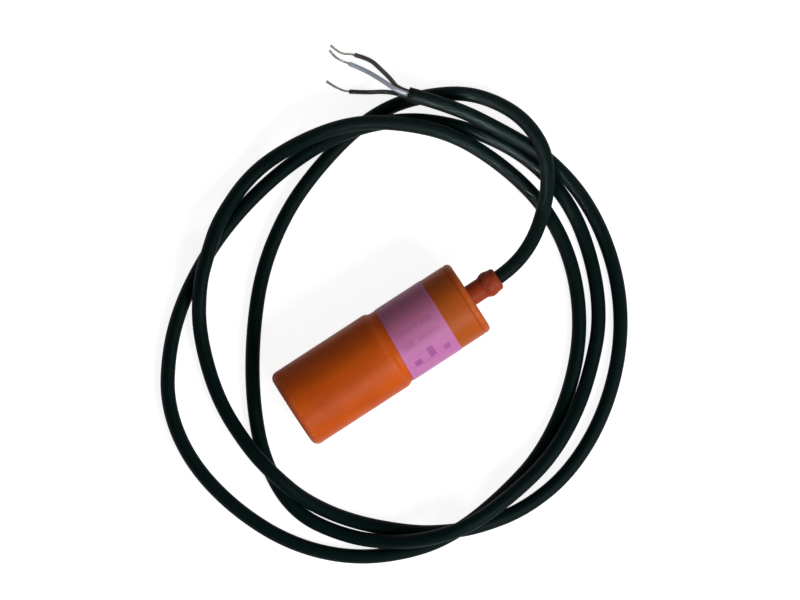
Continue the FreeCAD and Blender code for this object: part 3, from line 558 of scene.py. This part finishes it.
def spline_points(name, route, steps):
    """Points of the smooth curve that has the route as control points, at least steps between two."""
    curve = bpy.data.curves.new(name, "CURVE")
    curve.dimensions = "3D"
    curve.resolution_u = steps
    spline = curve.splines.new("NURBS")
    spline.points.add(len(route) - 1)
    spline.points.foreach_set("co", np.column_stack([route, np.ones(len(route))]).ravel())
    spline.order_u = 3
    spline.use_endpoint_u = True
    holder = bpy.data.objects.new(name, curve)
    bpy.context.scene.collection.objects.link(holder)
    mesh = bpy.data.meshes.new_from_object(holder)
    points = np.empty(len(mesh.vertices) * 3)
    mesh.vertices.foreach_get("co", points)
    bpy.data.objects.remove(holder)
    bpy.data.curves.remove(curve)
    bpy.data.meshes.remove(mesh)
    return points.reshape(-1, 3)


def unit(vectors):
    """Vectors of length one."""
    return vectors / np.linalg.norm(vectors, axis=-1, keepdims=True)


def path_frame(points):
    """Direction, level side and upward normal at each point, and the length so far.

    The side is level, at right angles to the direction, and the upward normal completes the three.
    """
    ahead = unit(np.gradient(points, axis=0))
    side = unit(np.cross(ahead, (0.0, 0.0, 1.0)))
    above = np.cross(side, ahead)
    steps = np.linalg.norm(np.diff(points, axis=0), axis=1)
    return ahead, side, above, np.concatenate([[0.0], np.cumsum(steps)])


def closed_tubes(name, rings, lengths):
    """Mesh of closed tubes from rings of points, with a pole at both ends of each tube.

    rings is an array of tubes, rings, points round and xyz. Faces join each point to the next one round
    and to the same point of the next ring, and a fan closes each end on the middle of its last ring. The
    UV map holds the share of the turn, and the length in metres.
    """
    tubes, count, sides = rings.shape[:3]
    poles = rings[:, (0, -1)].mean(axis=2)
    vertices = np.concatenate([rings.reshape(-1, 3), poles.reshape(-1, 3)])
    tube, ring, point = np.meshgrid(np.arange(tubes), np.arange(count - 1), np.arange(sides), indexing="ij")
    following = (point + 1) % sides

    def index(along, around):
        """Number of a ring's point among all the vertices."""
        return (tube * count + along) * sides + around

    quads = np.stack([index(ring, point), index(ring, following),
                      index(ring + 1, following), index(ring + 1, point)], axis=-1).reshape(-1, 4)
    around = np.arange(sides)
    first = (np.arange(tubes) * count * sides)[:, None] + around
    last = first + (count - 1) * sides
    pole = tubes * count * sides + 2 * np.arange(tubes)[:, None] + np.zeros(sides, int)
    start_fan = np.stack([pole, np.roll(first, -1, axis=1), first], axis=-1).reshape(-1, 3)
    end_fan = np.stack([pole + 1, last, np.roll(last, -1, axis=1)], axis=-1).reshape(-1, 3)

    turn = np.stack([point, point + 1, point + 1, point], axis=-1).reshape(-1) / sides
    height = np.stack([lengths[ring], lengths[ring], lengths[ring + 1], lengths[ring + 1]],
                      axis=-1).reshape(-1)
    fan_turn = np.tile(np.stack([around, around + 1, around], axis=-1).ravel(), 2 * tubes) / sides
    fan_height = np.repeat([lengths[0], lengths[-1]], 3 * sides * tubes)
    uv = np.column_stack([np.concatenate([turn, fan_turn]), np.concatenate([height, fan_height])])
    return surface_mesh(name, vertices, [quads, start_fan, end_fan], uv)


def surface_mesh(name, vertices, faces, uv=None):
    """Smooth mesh from an array of vertices and arrays of quads and triangles."""
    mesh = bpy.data.meshes.new(name)
    mesh.from_pydata(vertices, [], [face for group in faces for face in group.tolist()])
    mesh.polygons.foreach_set("use_smooth", np.ones(len(mesh.polygons), bool))
    if uv is not None:
        layer = mesh.uv_layers.new(name="surface")
        layer.uv.foreach_set("vector", uv.astype(np.float32).ravel())
    mesh.update()
    piece = bpy.data.objects.new(name, mesh)
    bpy.context.scene.collection.objects.link(piece)
    return piece


def tube_rings(points, radii, sides, wobble=None):
    """Rings round a path: centre + radius x (cosine of the turn x side + sine of the turn x above)."""
    ahead, side, above, lengths = path_frame(points)
    turn = 2 * math.pi * np.arange(sides) / sides
    reach = radii[:, None] * (1 if wobble is None else wobble(lengths[:, None], turn[None, :]))
    rings = (points[:, None] + reach[..., None] * (np.cos(turn)[None, :, None] * side[:, None]
                                                   + np.sin(turn)[None, :, None] * above[:, None]))
    return rings, lengths


def ended_tube(name, points, radius, sides, profile, wobble=None):
    """Closed tube along a path whose far end has a turned profile, such as a cut jacket's lip and hollow.

    The profile is a list of steps past the end and shares of the radius. The frame of the last path point
    serves all of it, so that steps back into the hollow don't turn its rings over.
    """
    ahead, side, above, lengths = path_frame(points)
    turn = 2 * math.pi * np.arange(sides) / sides
    body, _ = tube_rings(points, np.full(len(points), radius), sides, wobble)
    steps = np.array([step for step, _ in profile])
    reach = radius * np.array([share for _, share in profile])
    spokes = np.cos(turn)[:, None] * side[-1] + np.sin(turn)[:, None] * above[-1]
    end = points[-1] + steps[:, None, None] * ahead[-1] + reach[:, None, None] * spokes
    travel = np.cumsum(np.hypot(np.diff(steps, prepend=0), np.diff(reach, prepend=radius)))
    rings = np.concatenate([body, end])[None]
    return closed_tubes(name, rings, np.concatenate([lengths, lengths[-1] + travel]))


def keep(piece, material, nodes=(), body=BODY):
    """Gives a new piece its material, slot, body and the model's nodes that it stands for."""
    piece.data.materials.append(material)
    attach(piece, body)
    if nodes:
        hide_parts(*nodes)
    return piece


def cable_end_frame():
    """Middle of the jacket's cut end, and the direction, level side and upward normal there."""
    end = np.array(CABLE_ROUTE[-1])
    ahead = unit(end - np.array(CABLE_ROUTE[-2]))
    side = unit(np.cross(ahead, (0.0, 0.0, 1.0)))
    return end, ahead, side, np.cross(side, ahead)


def core_route(colour):
    """Control points of a core, from inside the jacket's cut end to its own cut end."""
    end, ahead, side, above = cable_end_frame()
    angle = math.radians(CORE_ANGLES[colour])
    start = end + CORE_SPREAD * (math.cos(angle) * side + math.sin(angle) * above)
    return np.array([start - ahead * CORE_RECESS, start + ahead * CORE_FIRST_RUN, *CORE_ROUTES[colour]])


class BuildCable(bpy.types.Operator):
    """Builds the jacketed cable along its route, with its cut end."""
    bl_idname = "sensor.build_cable"
    bl_label = "Build cable"

    def execute(self, context):
        sizes = context.scene.sensor_cable
        colours = context.scene.sensor_finish
        radius = sizes.jacket_diameter / 2
        points = spline_points("cable_line", CABLE_ROUTE, CABLE_STEPS)

        def wobble(length, turn):
            """Three cores under the jacket show as three low ridges in a slow twist."""
            return 1 + JACKET_RIDGE * (np.cos(3 * turn - 2 * math.pi * length / CORE_LAY) - 1)

        piece = ended_tube("cable_outer", points, radius, sizes.sides, CUT_JACKET, wobble)
        keep(piece, extruded_plastic("jacket", tuple(colours.jacket), 0.50, 0.05),
             ["cable_jacket"])
        return {"FINISHED"}


class BuildCores(bpy.types.Operator):
    """Builds the three insulated cores that fan out of the jacket."""
    bl_idname = "sensor.build_cores"
    bl_label = "Build cores"

    def execute(self, context):
        radius = context.scene.sensor_cable.core_diameter / 2

        def wobble(length, turn):
            """Slight dents where the stripped core was handled."""
            short, long = CORE_DENT_LENGTHS
            dents = np.sin(length / short + 2 * turn) * np.cos(length / long)
            return 1 + CORE_DENT * (dents - 1)

        for colour in CORE_ANGLES:
            points = spline_points(f"core_{colour}_line", core_route(colour), CABLE_STEPS)
            piece = ended_tube(f"core_{colour}_end", points, radius, CORE_SIDES, CUT_CORE, wobble)
            material = extruded_plastic(f"core_{colour}_skin", srgb(*CORE_COLOURS[colour]))
            keep(piece, material, [f"core_{colour}"])
        return {"FINISHED"}


class BuildStrands(bpy.types.Operator):
    """Builds the twisted bundles of bare wires at the ends of the cores."""
    bl_idname = "sensor.build_strands"
    bl_label = "Build strands"

    def execute(self, context):
        sizes = context.scene.sensor_cable
        colours = context.scene.sensor_finish
        metal = drawn_metal("tinned_wire", tuple(colours.tin), 0.6, 1400)
        bundle = sizes.bundle_diameter / 2
        wire = bundle / (WIRE_LAYERS[-1][1] + 1)
        layers = np.concatenate([np.full(count, out * wire) for count, out, _ in WIRE_LAYERS])
        phases = np.concatenate([(np.arange(count) + shift) / count for count, _, shift in WIRE_LAYERS])
        phases = phases * 2 * math.pi
        for seed, colour in enumerate(CORE_ANGLES):
            randoms = np.random.default_rng(STRAND_SEED + seed)
            before, end = np.array(CORE_ROUTES[colour][-2:])
            ahead = unit(end - before)
            route = np.array([end - ahead * STRAND_RECESS, end + ahead * STRAND_FIRST_RUN,
                              *STRAND_ROUTES[colour]])
            points = spline_points(f"strands_{colour}_line", route, STRAND_STEPS)
            piece = ended_bundle(f"strands_{colour}_end", points, wire, layers, phases, sizes.lay_length,
                                 randoms)
            keep(piece, metal, [f"strands_{colour}"])
        return {"FINISHED"}


def ended_bundle(name, points, wire, layers, phases, lay, randoms):
    """Bundle of fine wires twisted about a path.

    Each wire's line is the path + its layer's radius x (cosine of its angle x side + sine x above), where
    the angle grows by one turn per lay length. The bundle opens a little towards its end, each wire by a
    random amount, and no wire goes below the ground.
    """
    ahead, side, above, lengths = path_frame(points)
    share = lengths / lengths[-1]
    angle = phases[:, None] + 2 * math.pi * lengths[None] / lay
    fray = 1 + randoms.uniform(*FRAY, len(layers))[:, None] * share[None] ** 3
    drift = randoms.normal(0, DRIFT, (len(layers), 1)) * share[None] ** 2
    radius = layers[:, None] * fray
    lines = (points[None] + (radius * np.cos(angle + drift))[..., None] * side[None]
             + (radius * np.sin(angle + drift))[..., None] * above[None])
    lines[..., 2] = np.maximum(lines[..., 2], wire)
    turn = 2 * math.pi * np.arange(WIRE_SIDES) / WIRE_SIDES
    spokes = np.cos(turn)[:, None, None] * side[None] + np.sin(turn)[:, None, None] * above[None]
    rings = lines[:, :, None] + wire * spokes.transpose(1, 0, 2)[None]
    return closed_tubes(name, rings, lengths)


class BuildLabel(bpy.types.Operator):
    """Builds the label film, wrapped round the barrel with its end lapped over its start."""
    bl_idname = "sensor.build_label"
    bl_label = "Build label"

    def execute(self, context):
        sizes = context.scene.sensor_label
        colours = context.scene.sensor_finish
        inner = (HOUSING_HIGH[2] - HOUSING_LOW[2]) / 2 - BARREL_STEP + FILM_CLEARANCE
        low, high = LABEL_LOW[0], LABEL_HIGH[0]
        top = np.linspace(low + 2 * FILM_CORNER, high - 2 * FILM_CORNER, FILM_COLUMNS)
        section = np.array([
            (low, 0.0), (low, sizes.film - FILM_CORNER), (low + FILM_CORNER, sizes.film),
            *((x, sizes.film) for x in top),
            (high - FILM_CORNER, sizes.film), (high, sizes.film - FILM_CORNER), (high, 0.0),
        ])
        turn = np.linspace(-math.pi - sizes.overlap / 2, math.pi + sizes.overlap / 2, FILM_ROWS)
        climb = (turn - math.pi + sizes.overlap * LAP_START) / (sizes.overlap * LAP_RISE)
        lift = sizes.film * LAP_HEIGHT * np.clip(climb, 0, 1)
        radius = inner + lift[:, None] + section[None, :, 1]
        share = (section[:, 0] - low) / (high - low)
        slant = sizes.front_slant * (1 - share) + sizes.rear_slant * share
        x = section[None, :, 0] + slant[None, :] * np.sin(turn)[:, None]
        rings = np.stack([x, radius * np.sin(turn)[:, None],
                          AXIS_Z + radius * np.cos(turn)[:, None]], axis=-1)
        piece = closed_tubes("label_wrap", rings[None], turn * inner)
        material = label_film("label_film", tuple(colours.label), tuple(colours.label_print),
                              LABEL_MIDDLE_X, low, high)
        keep(piece, material, ["label_band"])
        return {"FINISHED"}


class DressMouldings(bpy.types.Operator):
    """Gives the housing, cover, plug and gland their moulded plastic."""
    bl_idname = "sensor.dress_mouldings"
    bl_label = "Dress mouldings"

    def execute(self, context):
        colours = context.scene.sensor_finish
        orange = moulded_plastic("moulded_orange", tuple(colours.housing), tuple(colours.housing_dark),
                                 darker_from=LABEL_MIDDLE_X, rubbed_and_highlit_bands=RUBBED_AND_HIGHLIT_BANDS)
        red = moulded_plastic("moulded_gland", tuple(colours.gland), shaded(colours.gland, 0.75), 0.46)
        dress(orange, "sensor_housing", "rear_cover", "trimmer_plug")
        dress(red, "cable_gland")
        return {"FINISHED"}


class DressInside(bpy.types.Operator):
    """Gives the seals, electronics and the cable's held end their materials."""
    bl_idname = "sensor.dress_inside"
    bl_label = "Dress inside"

    def execute(self, context):
        colours = context.scene.sensor_finish
        copper = drawn_metal("copper", srgb(214, 132, 92), 0.3)
        brass = drawn_metal("brass", srgb(206, 170, 92), 0.26)
        laminate = speckled_solid("laminate", srgb(38, 104, 54), srgb(70, 140, 70), 0.4, 2400)
        black = speckled_solid("chip_moulding", srgb(34, 34, 36), srgb(58, 58, 60), 0.5)
        ceramic = speckled_solid("ceramic", srgb(176, 144, 104), srgb(196, 170, 132), 0.35)
        blue = speckled_solid("trimmer_moulding", srgb(34, 74, 156), srgb(50, 94, 176), 0.4)
        resin = speckled_solid("casting_resin_mix", srgb(40, 42, 46), srgb(70, 72, 76), 0.3, 600)
        can = drawn_metal("drawn_can", srgb(206, 208, 212), 0.24)
        rubber = soft_rubber("seal_rubber_black", srgb(30, 30, 31))
        clear = clear_plastic("clear_window", srgb(226, 224, 216), 0.55)
        amber = clear_plastic("amber_lens", srgb(232, 158, 44), 0.8)
        dress(copper, "active_electrode", "guard_ring", "electrode_pin", "guard_pin", "screening_sleeve")
        dress(brass, "cable_crimp", "trimmer_screw")
        dress(laminate, "circuit_board", "electrode_carrier")
        dress(black, "oscillator_chip", "comparator_chip", "output_transistor", "suppressor_diode",
              "chip_resistors")
        dress(ceramic, "chip_capacitors")
        dress(blue, "trimmer_body")
        dress(resin, "casting_resin")
        dress(can, "buffer_capacitor")
        dress(rubber, "cover_seal_ring", "plug_seal_ring")
        dress(clear, "lamp_window")
        dress(amber, "status_lamp")
        dress(speckled_solid("jacket_inner", tuple(colours.jacket), srgb(40, 44, 42), 0.4),
              "cable_inner_length")
        for colour, screen in CORE_COLOURS.items():
            skin = srgb(*screen)
            dress(speckled_solid(f"inner_core_{colour}_skin", skin, shaded(skin, 0.7), 0.4),
                  f"inner_core_{colour}")
        return {"FINISHED"}


def dress(material, *nodes):
    """Puts a material on the model's own nodes."""
    for name in nodes:
        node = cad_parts[name]
        node.data.materials.clear()
        node.data.materials.append(material)


class BuildStage(bpy.types.Operator):
    """Builds the floor, the lamps, the surrounding light and the camera."""
    bl_idname = "sensor.build_stage"
    bl_label = "Build stage"

    def execute(self, context):
        settings = context.scene.sensor_stage
        build_floor()
        build_world(settings.sky, settings.ceiling)
        middle = (*VIEW_CENTRE, AXIS_Z)
        build_lamp("key", KEY_TURN, settings.key_height, LAMP_DISTANCE, KEY_SIZE, settings.key_power, middle)
        build_lamp("side", SIDE_TURN, math.radians(SIDE_HEIGHT), LAMP_DISTANCE, SIDE_SIZE,
                   settings.side_power, middle)
        sheen = build_lamp("sheen", SHEEN_TURN, math.radians(SHEEN_HEIGHT), SHEEN_DISTANCE, SHEEN_SIZE,
                           settings.sheen_power, SHEEN_AIM)
        sheen.data.spread = math.radians(SHEEN_SPREAD)
        sheen.visible_diffuse = False
        build_camera()
        context.scene.view_settings.view_transform = "Standard"
        return {"FINISHED"}


def seen_directly(sheet):
    """1 for rays from the camera, from gloss and through clear plastic, and 0 for light that spreads."""
    path = sheet.add("ShaderNodeLightPath", output="Is Camera Ray")
    outputs = path.socket.node.outputs
    gloss = Value(sheet, outputs["Is Glossy Ray"])
    through = Value(sheet, outputs["Is Transmission Ray"])
    return sheet.maths("MAXIMUM", sheet.maths("MAXIMUM", path, gloss), through)


def build_floor():
    """White ground: it spreads light plainly, looks white when seen, and keeps a pale shadow."""
    corners = np.array([(-1, -1, 0), (1, -1, 0), (1, 1, 0), (-1, 1, 0)]) * GROUND_REACH
    floor = surface_mesh("floor", corners, [np.array([[0, 1, 2, 3]])])
    sheet = new_material("ground")
    spread = sheet.add("ShaderNodeBsdfDiffuse", inputs={"Color": (GROUND_SPREAD,) * 3})
    glow = sheet.add("ShaderNodeEmission", inputs={"Color": WHITE, "Strength": GROUND_GLOW})
    none = sheet.add("ShaderNodeEmission", inputs={"Strength": 0.0})
    seen = sheet.add("ShaderNodeMixShader", inputs={0: seen_directly(sheet), 1: none, 2: glow})
    both = sheet.add("ShaderNodeAddShader", inputs={0: spread, 1: seen})
    floor.data.materials.append(sheet.finish(both))


def build_world(strength, ceiling):
    """Even surrounding light. Where it is seen or mirrored its walls are white and its ceiling is dim."""
    sheet = Sheet(bpy.data.worlds.new("surround"))
    direction = sheet.add("ShaderNodeTexCoord", output="Generated")
    height = sheet.axes(direction)[2]
    shown = 1 - height.step(*CEILING_RISE) * (1 - ceiling)
    power = seen_directly(sheet) * (shown - strength) + strength
    light = sheet.add("ShaderNodeBackground", inputs={"Color": WHITE, "Strength": power})
    bpy.context.scene.world = sheet.finish(light, "ShaderNodeOutputWorld")


def build_lamp(name, degrees, height, distance, size, power, aim):
    """Square soft lamp that faces a place from a turn about the vertical and a height above the ground."""
    lamp = bpy.data.lights.new(name, "AREA")
    lamp.size = size
    lamp.energy = power
    holder = bpy.data.objects.new(name, lamp)
    turn = math.radians(degrees)
    level = math.cos(height)
    away = np.array([math.cos(turn) * level, math.sin(turn) * level, math.sin(height)])
    side = unit(np.cross((0.0, 0.0, 1.0), away))
    place = np.eye(4)
    place[:3, 0] = side
    place[:3, 1] = np.cross(away, side)
    place[:3, 2] = away
    place[:3, 3] = np.array(aim) + away * distance
    holder.matrix_world = place.T.tolist()
    bpy.context.scene.collection.objects.link(holder)
    return holder


def build_camera():
    """Long lens straight above, turned about the vertical as the photograph is."""
    camera = bpy.data.cameras.new("camera")
    camera.sensor_width = SENSOR_WIDTH
    camera.lens = SENSOR_WIDTH * VIEW_HEIGHT / VIEW_WIDTH
    holder = bpy.data.objects.new("camera", camera)
    holder.location = (*VIEW_CENTRE, VIEW_HEIGHT)
    holder.rotation_euler = (0, 0, math.radians(VIEW_TURN))
    bpy.context.scene.collection.objects.link(holder)
    bpy.context.scene.camera = holder


class SensorPanel(bpy.types.Panel):
    """Lists the steps and the settings."""
    bl_idname = "SENSOR_PT_build"
    bl_label = "Level sensor"
    bl_space_type = "VIEW_3D"
    bl_region_type = "UI"
    bl_category = "Sensor"

    def draw(self, context):
        for operator in OPERATORS:
            self.layout.operator(operator.bl_idname)
        for name in GROUPS:
            group = getattr(context.scene, name)
            box = self.layout.box()
            for key in group.__annotations__:
                box.prop(group, key)


OPERATORS = [BuildStage, BuildCores, BuildStrands, BuildCable, BuildLabel, DressMouldings, DressInside]
GROUPS = {
    "sensor_cable": CableSettings,
    "sensor_label": LabelSettings,
    "sensor_finish": FinishSettings,
    "sensor_stage": StageSettings,
}


def register():
    """Registers the classes and hangs the settings on the scene."""
    for cls in [*GROUPS.values(), *OPERATORS, SensorPanel]:
        bpy.utils.register_class(cls)
    for name, cls in GROUPS.items():
        setattr(bpy.types.Scene, name, PointerProperty(type=cls))


def unregister():
    """Takes the settings and the classes away again."""
    for name in GROUPS:
        delattr(bpy.types.Scene, name)
    for cls in reversed([*GROUPS.values(), *OPERATORS, SensorPanel]):
        bpy.utils.unregister_class(cls)


def main():
    """Runs the steps in order."""
    register()
    bpy.ops.sensor.build_stage()
    bpy.ops.sensor.build_cores()
    bpy.ops.sensor.build_strands()
    bpy.ops.sensor.build_cable()
    bpy.ops.sensor.build_label()
    bpy.ops.sensor.dress_mouldings()
    bpy.ops.sensor.dress_inside()


if __name__ == "__main__":
    main()
